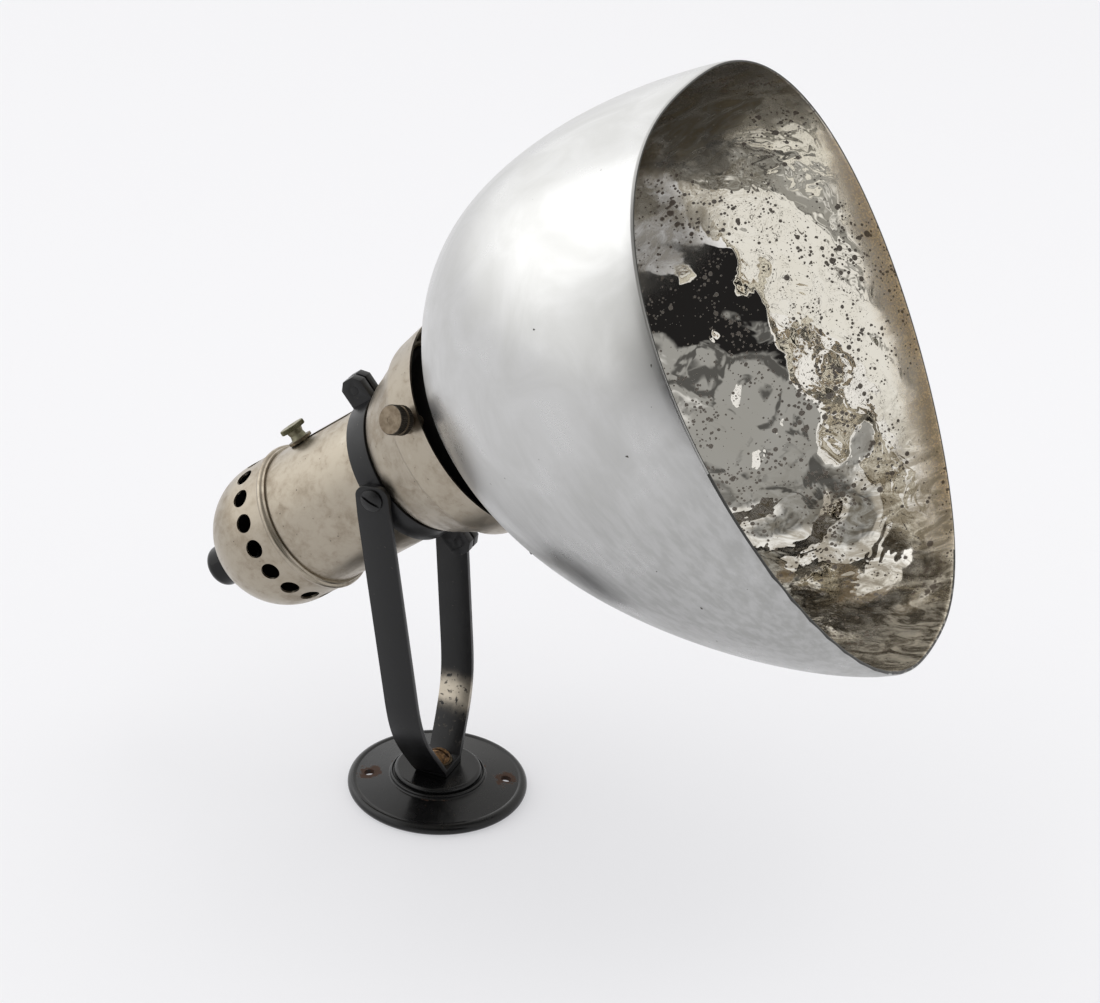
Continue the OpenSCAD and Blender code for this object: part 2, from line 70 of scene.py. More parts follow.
# Studio: a white acrylic sweep lit faintly from below, so that shadows stay thin, soft
# lights above and a pale room with a grey side and a dark stand for the mirror to reflect.
def srgb(code):
    """A hex colour as the linear values that shaders take."""
    parts = [int(code[i:i + 2], 16) / 255 for i in (1, 3, 5)]
    return tuple(c / 12.92 if c <= 0.04045 else ((c + 0.055) / 1.055) ** 2.4
                 for c in parts) + (1,)


def add(tree, kind, inputs=None, **settings):
    """Adds a node with its settings. An input is a value or another node's output."""
    made = tree.nodes.new(kind)
    for key, value in settings.items():
        setattr(made, key, value)
    for key, value in (inputs or {}).items():
        if isinstance(value, bpy.types.NodeSocket):
            tree.links.new(value, made.inputs[key])
        else:
            made.inputs[key].default_value = value
    return made


def finish_named(name):
    """A new material, with its node tree, its shader and its Object coordinates."""
    material = bpy.data.materials.new(name)
    material.use_nodes = True
    tree = material.node_tree
    shader = tree.nodes["Principled BSDF"]
    place = add(tree, "ShaderNodeTexCoord").outputs["Object"]
    return material, tree, shader, place


def coat(obj, *materials):
    """Puts the finishes on a piece in place of the ones that it has."""
    wanted = [face.material_index for face in obj.data.polygons]
    obj.data.materials.clear()
    for material in materials:
        obj.data.materials.append(material)
    if len(materials) > 1:
        obj.data.polygons.foreach_set("material_index", wanted)


def alone():
    bpy.ops.object.select_all(action="DESELECT")


alone()
FLOOR_RADIUS = 7
bpy.ops.mesh.primitive_circle_add(vertices=96, radius=FLOOR_RADIUS, fill_type="NGON")
floor = bpy.context.object
floor.name = "studio_floor"
floor_paint, tree, shader, place = finish_named("lit_white_acrylic")
shader.inputs["Base Color"].default_value = srgb("#a9a9aa")
shader.inputs["Emission Color"].default_value = srgb("#fbfbff")
shader.inputs["Emission Strength"].default_value = 0.47
shader.inputs["Roughness"].default_value = 0.75
shader.inputs["Specular IOR Level"].default_value = 0.2
coat(floor, floor_paint)

world = bpy.data.worlds.new("studio")
bpy.context.scene.world = world
world.use_nodes = True
tree = world.node_tree
ray = add(tree, "ShaderNodeTexCoord").outputs["Generated"]
split = add(tree, "ShaderNodeSeparateXYZ", {0: ray})


def ramp(tree, value, start, end, low=0.0, high=1.0):
    """Turns a value that runs from start to end into low to high, smoothly."""
    limits = {"Value": value, "From Min": start, "From Max": end, "To Min": low, "To Max": high}
    return add(tree, "ShaderNodeMapRange", limits, interpolation_type="SMOOTHSTEP").outputs[0]


def mix(tree, share, low, high):
    """A colour that goes from low to high as share goes from 0 to 1."""
    colours = {"Factor": share, 6: low, 7: high}
    return add(tree, "ShaderNodeMix", colours, data_type="RGBA").outputs[2]


def maths(tree, operation, a, b=0.5):
    return add(tree, "ShaderNodeMath", {0: a, 1: b}, operation=operation).outputs[0]


# A mask for each part of the room, by the direction of the ray: 1 inside it and 0 outside.
front = ramp(tree, split.outputs["Y"], -0.42, -0.50)
low_down = ramp(tree, split.outputs["Z"], 0.50, 0.44)
overhead = ramp(tree, split.outputs["Z"], 0.74, 0.84)
forward = ramp(tree, split.outputs["Y"], 0.12, 0.02)
not_left = ramp(tree, split.outputs["X"], -0.30, -0.18)
on_right = ramp(tree, split.outputs["X"], 0.02, 0.08)
on_left = ramp(tree, split.outputs["X"], -0.30, -0.50)
ceiling = maths(tree, "MULTIPLY", overhead, forward)
grey = maths(tree, "MULTIPLY", maths(tree, "MAXIMUM", ceiling, front), not_left)
stand = maths(tree, "MULTIPLY", maths(tree, "MULTIPLY", front, low_down), on_right)
clutter = add(tree, "ShaderNodeTexNoise",
              {"Vector": ray, "Scale": 5.0, "Detail": 2.0, "Roughness": 0.5}).outputs["Fac"]
shades = mix(tree, ramp(tree, clutter, 0.36, 0.50), srgb("#4a4947"), srgb("#898885"))
walls = mix(tree, on_left, srgb("#d1d0ce"), srgb("#ffffff"))
room = mix(tree, stand, mix(tree, grey, walls, shades), srgb("#1c1b1b"))
tree.nodes["Background"].inputs["Strength"].default_value = 1.35
tree.links.new(room, tree.nodes["Background"].inputs["Color"])


def soft_light(name, place_at, size, watts, mirrored=True):
    """A soft rectangular light aimed at the lamp, which polished pieces may reflect."""
    data = bpy.data.lights.new(name, "AREA")
    data.shape = "RECTANGLE"
    data.size, data.size_y = size
    data.energy = watts
    light = bpy.data.objects.new(name, data)
    light.location = place_at
    towards = LIGHTS_AIM - Vector(place_at)
    light.rotation_euler = towards.to_track_quat("-Z", "Y").to_euler()
    light.visible_camera = False
    light.visible_glossy = mirrored
    bpy.context.scene.collection.objects.link(light)


LIGHTS_AIM = Vector((0.05, 0, 0.1))
soft_light("left_softbox", (-2.2, -0.1, 1.9), (3.0, 2.4), 14)
soft_light("right_softbox", (1.0, 0.6, 1.9), (1.4, 1.4), 9, mirrored=False)
soft_light("even_fill", (0.3, -0.9, 2.4), (2.6, 2.6), 15, mirrored=False)
bpy.context.scene.view_settings.view_transform = "Standard"


# Base flange: pressed steel with a rolled rim and a stepped hub, stove-enamelled glossy
# black. Two screws through its plain holes hold it down, and rust has crept from them.
def grain(tree, place, size_mm, detail=4, roughness=0.55, distortion=0.0):
    """Noise whose blobs are about size_mm across."""
    look = {"Vector": place, "Scale": 1 / (size_mm * MM), "Detail": detail,
            "Roughness": roughness, "Distortion": distortion}
    return add(tree, "ShaderNodeTexNoise", look).outputs["Fac"]


def relief(tree, shader, height, depth_mm, strength):
    """Gives the shader a bump that is depth_mm deep where height goes from 0 to 1."""
    bump = add(tree, "ShaderNodeBump",
               {"Height": height, "Distance": depth_mm * MM, "Strength": strength})
    tree.links.new(bump.outputs[0], shader.inputs["Normal"])


holes = [m for m in frame["record"]["mounts"] if m["kind"] == "bolt_pattern"][0]
HOLE_RING = holes["dims"]["pcd_mm"] / 2 * MM
HOLE_TURN = math.radians(22)
TOP_AT_HOLES = 6.5 * MM
# Enamel, flowed on and baked: near black, with a clear gloss that dulls in clouds. The rust
# is brown, matt and a little raised.
flange_enamel, tree, shader, place = finish_named("gloss_black_stove_enamel")
rust = grain(tree, place, 4, 6, 0.7)
near_holes = 0
for side in (1, -1):
    ring = side * HOLE_RING
    hole = (ring * math.cos(HOLE_TURN), ring * math.sin(HOLE_TURN), TOP_AT_HOLES)
    reach = add(tree, "ShaderNodeVectorMath", {0: place, 1: hole},
                operation="DISTANCE").outputs["Value"]
    near_holes = maths(tree, "MAXIMUM", ramp(tree, reach, 0.0115, 0.003), near_holes)
flat = add(tree, "ShaderNodeVectorMath", {0: place, 1: (1, 1, 0)},
           operation="MULTIPLY").outputs["Vector"]
from_axis = add(tree, "ShaderNodeVectorMath", {0: flat}, operation="LENGTH").outputs["Value"]
round_hub = maths(tree, "MULTIPLY", ramp(tree, from_axis, 0.0205, 0.0215),
                  ramp(tree, from_axis, 0.0235, 0.022))
where = maths(tree, "MAXIMUM", near_holes, maths(tree, "MULTIPLY", round_hub, 0.55))
rusty = ramp(tree, maths(tree, "ADD", maths(tree, "MULTIPLY", where, 0.42), rust), 0.80, 0.90)
specks = ramp(tree, grain(tree, place, 1.6, 2), 0.70, 0.74)
dull = grain(tree, place, 14, 5)
black = mix(tree, dull, srgb("#050506"), srgb("#0f0f0f"))
brown = mix(tree, rust, srgb("#241a13"), srgb("#51382a"))
colour = mix(tree, rusty, black, brown)
tree.links.new(mix(tree, maths(tree, "MULTIPLY", specks, 0.6), colour, srgb("#3b3026")),
               shader.inputs["Base Color"])
gloss = ramp(tree, dull, 0.3, 0.7, 0.16, 0.30)
shader.inputs["Specular IOR Level"].default_value = 0.36
tree.links.new(maths(tree, "MAXIMUM", gloss, maths(tree, "MULTIPLY", rusty, 0.8)),
               shader.inputs["Roughness"])
raised = maths(tree, "ADD", maths(tree, "MULTIPLY", rusty, 0.6), grain(tree, place, 3, 3))
relief(tree, shader, raised, 0.05, 0.5)
coat(frame["nodes"]["base_flange"], flange_enamel)

# Swivel screw, its washer and nut: turned brass gone brown with age. They clamp the yoke's
# foot to the hub, with a dull spring-steel washer to give a steady friction.
# Its patina is matt and brown, with a dull metal sheen where it is thin.
aged_brass, tree, shader, place = finish_named("aged_brown_brass")
patina = grain(tree, place, 3, 6, 0.65)
tree.links.new(mix(tree, ramp(tree, patina, 0.3, 0.7), srgb("#4a4136"), srgb("#8a7c66")),
               shader.inputs["Base Color"])
shader.inputs["Metallic"].default_value = 0.85
tree.links.new(ramp(tree, patina, 0.3, 0.7, 0.62, 0.38), shader.inputs["Roughness"])
relief(tree, shader, grain(tree, place, 0.8, 4), 0.04, 0.5)
for name in ("swivel_washer", "swivel_nut", "focus_washer"):
    coat(frame["nodes"][name], aged_brass)

# The screw's head is stained orange-brown by rust from the yoke under it.
rusted_brass, tree, shader, place = finish_named("rust_stained_brass")
patina = grain(tree, place, 2.4, 6, 0.7)
tree.links.new(mix(tree, ramp(tree, patina, 0.35, 0.65), srgb("#3d2a1b"), srgb("#8b6a45")),
               shader.inputs["Base Color"])
shader.inputs["Metallic"].default_value = 0.55
tree.links.new(ramp(tree, patina, 0.3, 0.7, 0.75, 0.45), shader.inputs["Roughness"])
relief(tree, shader, grain(tree, place, 0.7, 4), 0.06, 0.6)
coat(frame["nodes"]["swivel_screw"], rusted_brass)

# Rolled spring steel: grey, with a soft even sheen.
spring_steel, tree, shader, place = finish_named("dull_spring_steel")
tree.links.new(mix(tree, grain(tree, place, 2, 5), srgb("#6d6a66"), srgb("#9a9791")),
               shader.inputs["Base Color"])
shader.inputs["Metallic"].default_value = 1
shader.inputs["Roughness"].default_value = 0.5
relief(tree, shader, grain(tree, place, 0.6, 3), 0.02, 0.4)
coat(frame["nodes"]["friction_washer"], spring_steel)


# Yoke: one bent strip of steel, japanned satin black. Its edges are eased and small chips show the
# steel. Low down on the inside of the far arm, a pale metal band is a painted highlight, with flakes below it.
def rework(node, name, weld=0.01, soften=None, bevel_mm=None, angle=30):
    """A copy of a CAD node's mesh, welded, with its flat facets joined and its edges eased."""
    alone()
    mesh = frame["nodes"][node].data.copy()
    mesh.name = name
    piece = bpy.data.objects.new(name, mesh)
    bpy.context.scene.collection.objects.link(piece)
    piece.select_set(True)
    bpy.context.view_layer.objects.active = piece
    if mesh.has_custom_normals:
        bpy.ops.mesh.customdata_custom_splitnormals_clear()
    bpy.ops.object.mode_set(mode="EDIT")
    bpy.ops.mesh.select_all(action="SELECT")
    bpy.ops.mesh.remove_doubles(threshold=weld * MM)
    bpy.ops.mesh.normals_make_consistent(inside=False)
    if soften is not None:
        bpy.ops.mesh.dissolve_limited(angle_limit=math.radians(soften))
    bpy.ops.object.mode_set(mode="OBJECT")
    if bevel_mm:
        bevel = piece.modifiers.new("eased_edges", "BEVEL")
        bevel.width = bevel_mm * MM
        bevel.segments = 2
        bevel.limit_method = "ANGLE"
        bevel.angle_limit = math.radians(40)
        bpy.ops.object.modifier_apply(modifier="eased_edges")
    bpy.ops.object.shade_smooth_by_angle(angle=math.radians(angle))
    return piece


def japanned(name, highlight_band_between=None):
    """Satin black japan on steel, chipped here and there; on a far arm, a pale band between heights that is a
    painted highlight.
    """
    material, tree, shader, place = finish_named(name)
    blotch = grain(tree, place, 9, 6, 0.6)
    fine = grain(tree, place, 2.2, 5, 0.62)
    chips = ramp(tree, fine, 0.685, 0.715)
    black = mix(tree, blotch, srgb("#09090a"), srgb("#161617"))
    steel = mix(tree, grain(tree, place, 1.2, 4), srgb("#35312c"), srgb("#77716a"))
    bare = maths(tree, "MULTIPLY", chips, 0.7)
    # The band of pale bare metal is a painted highlight. The flakes below it are chips.
    if highlight_band_between is not None:
        low, high = highlight_band_between
        parts = add(tree, "ShaderNodeSeparateXYZ", {0: place})
        uneven = maths(tree, "MULTIPLY", maths(tree, "SUBTRACT", blotch, 0.5), 0.006)
        height = maths(tree, "ADD", parts.outputs["Z"], uneven)
        far_arm = ramp(tree, parts.outputs["Y"], 0.008, 0.011)
        band = maths(tree, "MULTIPLY", ramp(tree, height, low - 0.004, low + 0.004),
                     ramp(tree, height, high + 0.006, high - 0.004))
        pits = maths(tree, "MULTIPLY", ramp(tree, fine, 0.44, 0.34), 0.7)
        painted_highlight = maths(tree, "MULTIPLY", maths(tree, "SUBTRACT", band, pits), far_arm)
        below = ramp(tree, height, low + 0.002, low - 0.004)
        flakes = maths(tree, "MULTIPLY", ramp(tree, fine, 0.58, 0.64), far_arm)
        flaked = maths(tree, "MULTIPLY", maths(tree, "MULTIPLY", below, flakes), 0.6)
        bare = maths(tree, "MAXIMUM", maths(tree, "MAXIMUM", bare, painted_highlight), flaked)
        # Painted highlight: the band's pale metal colour.
        steel = mix(tree, painted_highlight, steel, srgb("#b5ac9d"))
    tree.links.new(mix(tree, bare, black, steel), shader.inputs["Base Color"])
    tree.links.new(bare, shader.inputs["Metallic"])
    shader.inputs["Specular IOR Level"].default_value = 0.36
    tree.links.new(ramp(tree, blotch, 0.3, 0.7, 0.30, 0.42), shader.inputs["Roughness"])
    relief(tree, shader, maths(tree, "SUBTRACT", grain(tree, place, 1.5, 4), bare), 0.06, 0.45)
    return material


# Heights of the painted highlight on the inside of the far arm.
HIGHLIGHT_BAND_BETWEEN = (30.5 * MM, 41.5 * MM)
strap_japan = japanned("satin_black_japan", HIGHLIGHT_BAND_BETWEEN)
strap = rework("yoke_strap", "strap_yoke", soften=0.5, bevel_mm=0.35)
coat(strap, strap_japan)
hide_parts("yoke_strap")
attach(strap, "yoke")

# Collar: two bent steel straps with lugs, japanned like the yoke. Two bolts through the
# lugs clamp them round the housing, and two slotted round-head screws carry the tilt.
collar_japan = japanned("satin_black_japan_collar")
for node, name in (("collar_near", "near_collar_strap"), ("collar_far", "far_collar_strap"),
                   ("collar_bolts", "lug_bolts"), ("pivot_screws", "tilt_screws")):
    piece = rework(node, name, soften=0.5, bevel_mm=0.25)
    coat(piece, collar_japan)
    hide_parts(node)
    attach(piece, "head")

# Housing, cap, neck and gallery: spun brass with thin nickel plate that has gone warm grey,
# mottled brown and pitted. They push together and are held by crimps and solder.
lamp_turn = [j for j in frame["joints"] if j["name"] == "reflector_turn"][0]
tilt = [j for j in frame["joints"] if j["name"] == "head_tilt"][0]
PIVOT = Vector(tilt["pos_m"])
LAMP = Vector(lamp_turn["axis"]).normalized()
HEAD_TURN = math.acos(LAMP.z)
RISE = Vector((-LAMP.z, 0, LAMP.x))


def head_place(tree, place):
    """Object coordinates turned so that Z runs along the lamp from the tilt axis."""
    return add(tree, "ShaderNodeMapping", {"Vector": place, "Location": PIVOT,
               "Rotation": (0, HEAD_TURN, 0)}, vector_type="TEXTURE").outputs[0]


# Nickel plate, dulled: a warm grey metal with brown clouds, pale rubbed patches and dark
# pits, softly mirrored where it is clean.
nickel, tree, shader, place = finish_named("worn_nickel_plate")
local = head_place(tree, place)
clouds = grain(tree, local, 16, 6, 0.62)
blotch = grain(tree, local, 5, 6, 0.68, 0.4)
fine = grain(tree, local, 0.9, 4, 0.6)
patina = ramp(tree, maths(tree, "ADD", maths(tree, "MULTIPLY", clouds, 0.55),
                          maths(tree, "MULTIPLY", blotch, 0.45)), 0.42, 0.66)
colour = mix(tree, patina, srgb("#aaa192"), srgb("#978c7c"))
colour = mix(tree, ramp(tree, blotch, 0.60, 0.76, 0, 0.4), colour, srgb("#75685a"))
colour = mix(tree, ramp(tree, clouds, 0.36, 0.24, 0, 0.6), colour, srgb("#cfc9bd"))
pits = add(tree, "ShaderNodeTexVoronoi", {"Vector": local, "Scale": 1 / (2.6 * MM)},
           feature="F1").outputs["Distance"]
pitted = maths(tree, "MULTIPLY", ramp(tree, pits, 0.15, 0.09), ramp(tree, blotch, 0.52, 0.6))
colour = mix(tree, maths(tree, "MULTIPLY", pitted, 0.8), colour, srgb("#2f2821"))
tree.links.new(colour, shader.inputs["Base Color"])
shader.inputs["Metallic"].default_value = 1
rough = maths(tree, "ADD", ramp(tree, patina, 0, 1, 0.27, 0.44),
              maths(tree, "MULTIPLY", fine, 0.08))
tree.links.new(rough, shader.inputs["Roughness"])
swell = maths(tree, "ADD", maths(tree, "MULTIPLY", clouds, 2.0),
              maths(tree, "MULTIPLY", fine, 0.25))
relief(tree, shader, maths(tree, "SUBTRACT", swell, pitted), 0.08, 0.5)

# Inside, the housing and cap are painted matt and nearly black: painted shade in the hollow, seen through the vent
# holes.
painted_shade_inside, tree, shader, place = finish_named("painted_shade_in_housing")
inside_grain = grain(tree, place, 5, 5)
tree.links.new(mix(tree, inside_grain, srgb("#0d0c0b"), srgb("#1f1b17")), shader.inputs["Base Color"])
tree.links.new(ramp(tree, inside_grain, 0.3, 0.7, 0.9, 0.7), shader.inputs["Roughness"])
shader.inputs["Specular IOR Level"].default_value = 0.15
relief(tree, shader, grain(tree, place, 1.2, 3), 0.03, 0.4)
for node in ("holder_neck", "gallery_ring"):
    coat(frame["nodes"][node], nickel)
for node, name in (("housing_tube", "spun_tube"), ("vent_cap", "spun_cap")):
    piece = rework(node, name, angle=35)
    # Faces that look inwards get the painted shade.
    for face in piece.data.polygons:
        away = face.center - PIVOT
        away -= away.dot(LAMP) * LAMP
        faces_inwards = face.normal.dot(away.normalized()) < -0.3
        face.material_index = 1 if faces_inwards else 0
    coat(piece, nickel, painted_shade_inside)
    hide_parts(node)
    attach(piece, "head")

# Cord bushing: black moulded composition, polished, pressed into the cap's rear hole to
# keep the metal from cutting the cord.
# Moulded composition polished in its die: black, with small sharp highlights.
composition, tree, shader, place = finish_named("polished_black_composition")
swirl = grain(tree, place, 5, 4)
tree.links.new(mix(tree, swirl, srgb("#060606"), srgb("#101010")), shader.inputs["Base Color"])
tree.links.new(ramp(tree, swirl, 0.3, 0.7, 0.05, 0.11), shader.inputs["Roughness"])
shader.inputs["Specular IOR Level"].default_value = 0.28
relief(tree, shader, grain(tree, place, 1.5, 3), 0.01, 0.3)
coat(frame["nodes"]["cord_bushing"], composition)

# Lampholder: a brass carriage, a glazed porcelain body and brass contacts. It slides in the
# tube to focus the lamp, and the screw in the tube's slot locks it.
# Turned brass gone dull: yellow metal under brown tarnish.
brass, tree, shader, place = finish_named("tarnished_turned_brass")
patina = grain(tree, place, 6, 6, 0.65)
tree.links.new(mix(tree, ramp(tree, patina, 0.35, 0.7), srgb("#b08f52"), srgb("#6f5731")),
               shader.inputs["Base Color"])
shader.inputs["Metallic"].default_value = 1
tree.links.new(ramp(tree, patina, 0.3, 0.7, 0.25, 0.5), shader.inputs["Roughness"])
relief(tree, shader, grain(tree, place, 0.8, 3), 0.02, 0.4)
for node in ("carriage", "socket_sleeve", "centre_contact", "terminal_screws", "socket_nut",
             "bulb_cap", "bulb_contact"):
    coat(frame["nodes"][node], brass)

# Glazed porcelain: creamy white, with a clear and slightly wavy gloss.
porcelain, tree, shader, place = finish_named("glazed_white_porcelain")
cloud = grain(tree, place, 8, 5)
tree.links.new(mix(tree, cloud, srgb("#e2dccd"), srgb("#f1eee6")), shader.inputs["Base Color"])
tree.links.new(ramp(tree, cloud, 0.3, 0.7, 0.12, 0.25), shader.inputs["Roughness"])
relief(tree, shader, grain(tree, place, 3, 3), 0.03, 0.3)
coat(frame["nodes"]["socket_body"], porcelain)

# Bulb: a clear blown glass envelope on a brass screw cap, with a glass stem and a zigzag
# tungsten wire. It is unlit.
# Blown glass: clear and barely wavy, so it shows by its reflections.
bulb_glass, tree, shader, place = finish_named("clear_blown_glass")
shader.inputs["Base Color"].default_value = srgb("#f6fafa")
shader.inputs["Transmission Weight"].default_value = 1
shader.inputs["IOR"].default_value = 1.52
tree.links.new(ramp(tree, grain(tree, place, 20, 3), 0.3, 0.7, 0.0, 0.03),
               shader.inputs["Roughness"])
relief(tree, shader, grain(tree, place, 12, 2), 0.05, 0.2)
for node in ("bulb_glass", "bulb_stem"):
    coat(frame["nodes"][node], bulb_glass)

# Drawn tungsten: a dark grey metal sheen.
tungsten, tree, shader, place = finish_named("tungsten_wire")
tree.links.new(mix(tree, grain(tree, place, 0.6, 3), srgb("#4c4b49"), srgb("#7a7875")),
               shader.inputs["Base Color"])
shader.inputs["Metallic"].default_value = 1
shader.inputs["Roughness"].default_value = 0.45
coat(frame["nodes"]["filament"], tungsten)

# Thumbscrews: turned brass, aged dark. The side of each head is milled to give the fingers
# a grip; three of them hold the glass neck in the gallery and a flat one locks the focus.
SHANK, MILLED = 2.5, 6.2   # radii, in mm
LINES = 96                 # round a head: every other one is a groove
GROOVE = 0.94              # a groove's radius, against the radius of the ridges
BARREL = ((SHANK - 0.6, 0), (SHANK, 0.6), (SHANK, -9.0), (4.2, -9.0), (4.6, -8.0),
          (5.6, -8.0), (MILLED, -7.4), (MILLED, -5.0), (5.3, -4.7), (5.3, -4.1),
          (MILLED, -3.8), (MILLED, -0.45), (5.8, 0.0), (1.6, 0.0), (1.5, -0.15))


def dull_brass(name, dark, light, metal):
    """Brass under old lacquer and grime: a soft sheen whose colour wanders a little."""
    material, tree, shader, place = finish_named(name)
    patina = grain(tree, place, 3, 5, 0.6)
    tree.links.new(mix(tree, ramp(tree, patina, 0.3, 0.7), srgb(dark), srgb(light)),
                   shader.inputs["Base Color"])
    shader.inputs["Metallic"].default_value = metal
    tree.links.new(ramp(tree, patina, 0.3, 0.7, 0.58, 0.42), shader.inputs["Roughness"])
    relief(tree, shader, grain(tree, place, 0.8, 4), 0.03, 0.4)
    return material


brown_face = dull_brass("brown_brass_face", "#6a5d4c", "#857866", 0.7)
grimy_milling = dull_brass("grimy_milled_brass", "#2b2720", "#4b443a", 0.5)
olive_brass = dull_brass("olive_brass_face", "#77745f", "#96927c", 0.8)
olive_milling = dull_brass("olive_milled_brass", "#58563f", "#7b785f", 0.7)


def turned(name, profile, length, milled):
    """A disc extruded ring by ring along Z, with every other line of its head pressed in.

    The profile is in mm. Its first two heights are from the tip, the rest from the far end."""
    alone()
    rings = [(r * MM, h * MM if i < 2 else length + h * MM)
             for i, (r, h) in enumerate(profile)]
    bpy.ops.mesh.primitive_circle_add(vertices=LINES, radius=rings[0][0], fill_type="NGON")
    piece = bpy.context.object
    piece.name = piece.data.name = name
    bpy.ops.object.mode_set(mode="EDIT")
    bpy.ops.mesh.select_all(action="SELECT")
    for (r, z), (wider, further) in zip(rings, rings[1:]):
        bpy.ops.mesh.extrude_region_move(
            TRANSFORM_OT_translate={"value": (0, 0, further - z)})
        bpy.ops.transform.resize(value=(wider / r, wider / r, 1),
                                 center_override=(0, 0, further))
    bpy.ops.mesh.select_all(action="SELECT")
    bpy.ops.mesh.normals_make_consistent(inside=False)
    bpy.ops.mesh.select_all(action="DESELECT")
    bpy.ops.object.mode_set(mode="OBJECT")
    for vertex in piece.data.vertices:
        out = math.hypot(vertex.co.x, vertex.co.y)
        line = round(math.atan2(vertex.co.y, vertex.co.x) / math.tau * LINES)
        vertex.select = abs(out - milled * MM) < 0.01 * MM and line % 2 == 0
    bpy.ops.object.mode_set(mode="EDIT")
    bpy.ops.transform.resize(value=(GROOVE, GROOVE, 1), center_override=(0, 0, 0))
    bpy.ops.object.mode_set(mode="OBJECT")
    for face in piece.data.polygons:
        out = math.hypot(face.center.x, face.center.y)
        on_side = out > milled * MM * 0.8 and abs(face.normal.z) < 0.8
        face.material_index = 1 if on_side else 0
    bpy.ops.object.shade_smooth_by_angle(angle=math.radians(24))
    return piece


def from_head(point):
    """(along the lamp, across, upwards) from the tilt axis."""
    away = point - PIVOT
    return Vector((away.dot(LAMP), away.y, away.dot(RISE)))


def screw_axis(node):
    """A screw's outward direction from the lamp's axis, its place along it and its ends."""
    spots = [from_head(v.co) for v in frame["nodes"][node].data.vertices]
    box = [(min(s[i] for s in spots) + max(s[i] for s in spots)) / 2 for i in range(3)]
    out = Vector((0, box[1], box[2])).normalized()
    reach = [s.dot(out) for s in spots]
    direction = out.y * Vector((0, 1, 0)) + out.z * RISE
    return direction, PIVOT + box[0] * LAMP, min(reach), max(reach)


def set_out(piece, node, body, *finishes):
    """Stands a turned piece on the lamp's axis where a CAD screw is, and takes its place."""
    direction, at, tip, end = screw_axis(node)
    alone()
    piece.select_set(True)
    bpy.context.view_layer.objects.active = piece
    piece.rotation_euler = direction.to_track_quat("Z", "Y").to_euler()
    piece.location = at + tip * direction
    bpy.ops.object.transform_apply(location=True, rotation=True, scale=True)
    coat(piece, *finishes)
    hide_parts(node)
    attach(piece, body)


tip, end = screw_axis("thumbscrew_near")[2:]
first = turned("milled_screw_near", BARREL, end - tip, MILLED)
others = []
for name in ("milled_screw_far", "milled_screw_low"):
    twin = first.copy()
    twin.data = first.data.copy()
    twin.name = twin.data.name = name
    bpy.context.scene.collection.objects.link(twin)
    others.append(twin)
for piece, node, body in zip((first, *others),
                             ("thumbscrew_near", "thumbscrew_far", "thumbscrew_low"),
                             ("thumb_near", "thumb_far", "thumb_low")):
    set_out(piece, node, body, brown_face, grimy_milling)

FLAT_HEAD = 5.7
FLAT = ((SHANK - 0.5, 0), (SHANK, 0.5), (SHANK, -6.7), (3.7, -6.7), (3.1, -4.4),
        (3.7, -2.1), (5.4, -2.1), (FLAT_HEAD, -1.8), (FLAT_HEAD, -0.3), (5.4, 0.0),
        (1.6, 0.0), (1.5, -0.1))
tip, end = screw_axis("focus_screw")[2:]
set_out(turned("milled_focus_screw", FLAT, end - tip, FLAT_HEAD), "focus_screw",
        "focus_knob", olive_brass, olive_milling)

# Reflector: one piece of blown glass, silvered and then painted with aluminium outside. The
# inside is moulded in ripples, and the silver is specked and tarnished towards the rim.
MOUTH_NORMAL = Vector((0.985, 0, -0.172))   # along the lamp, and upwards across it
MOUTH_AT = 191.6 * MM
BOWL_START = 48 * MM     # where the glass leaves its neck, along the lamp
BOWL_DROP = 0.36         # how fast the bowl's middle falls below the lamp's axis
PAINT_START = 54 * MM
EDGE_WIDTH = 1.2 * MM
shell = rework("reflector", "silvered_glass_scoop", weld=0.005)
alone()
shell.select_set(True)
bpy.context.view_layer.objects.active = shell
bpy.ops.object.mode_set(mode="EDIT")
bpy.ops.mesh.select_all(action="SELECT")
bpy.ops.mesh.tris_convert_to_quads(face_threshold=math.radians(40),
                                   shape_threshold=math.radians(60))
bpy.ops.object.mode_set(mode="OBJECT")
smooth = shell.modifiers.new("blown", "SUBSURF")
smooth.levels = smooth.render_levels = 2
bpy.ops.object.modifier_apply(modifier="blown")


def from_mouth(spot):
    """How deep inside the mouth a place from from_head lies."""
    return MOUTH_AT - MOUTH_NORMAL.x * spot.x - MOUTH_NORMAL.z * spot.z


def share(value, start, end):
    """How far value is on the way from start to end, from 0 to 1."""
    return min(max((value - start) / (end - start), 0), 1)


INSIDE, OUTSIDE, EDGE, NECK_SHADOW = range(4)
mesh = shell.data
inside = set()
for face in mesh.polygons:
    spot = from_head(face.center)
    normal = Vector((face.normal.dot(LAMP), face.normal.y, face.normal.dot(RISE)))
    middle = -BOWL_DROP * max(spot.x - BOWL_START, 0)
    outwards = Vector((0, spot.y, spot.z - middle))
    if from_mouth(spot) < EDGE_WIDTH and abs(normal.dot(MOUTH_NORMAL)) > 0.6:
        face.material_index = EDGE
    elif normal.dot(outwards) > 0:
        # Outside faces short of the aluminium paint get the painted shadow of the neck.
        face.material_index = OUTSIDE if spot.x > PAINT_START else NECK_SHADOW
    else:
        face.material_index = INSIDE
        inside.update(face.vertices)
keep = set()
for face in mesh.polygons:
    if face.material_index != INSIDE:
        keep.update(face.vertices)

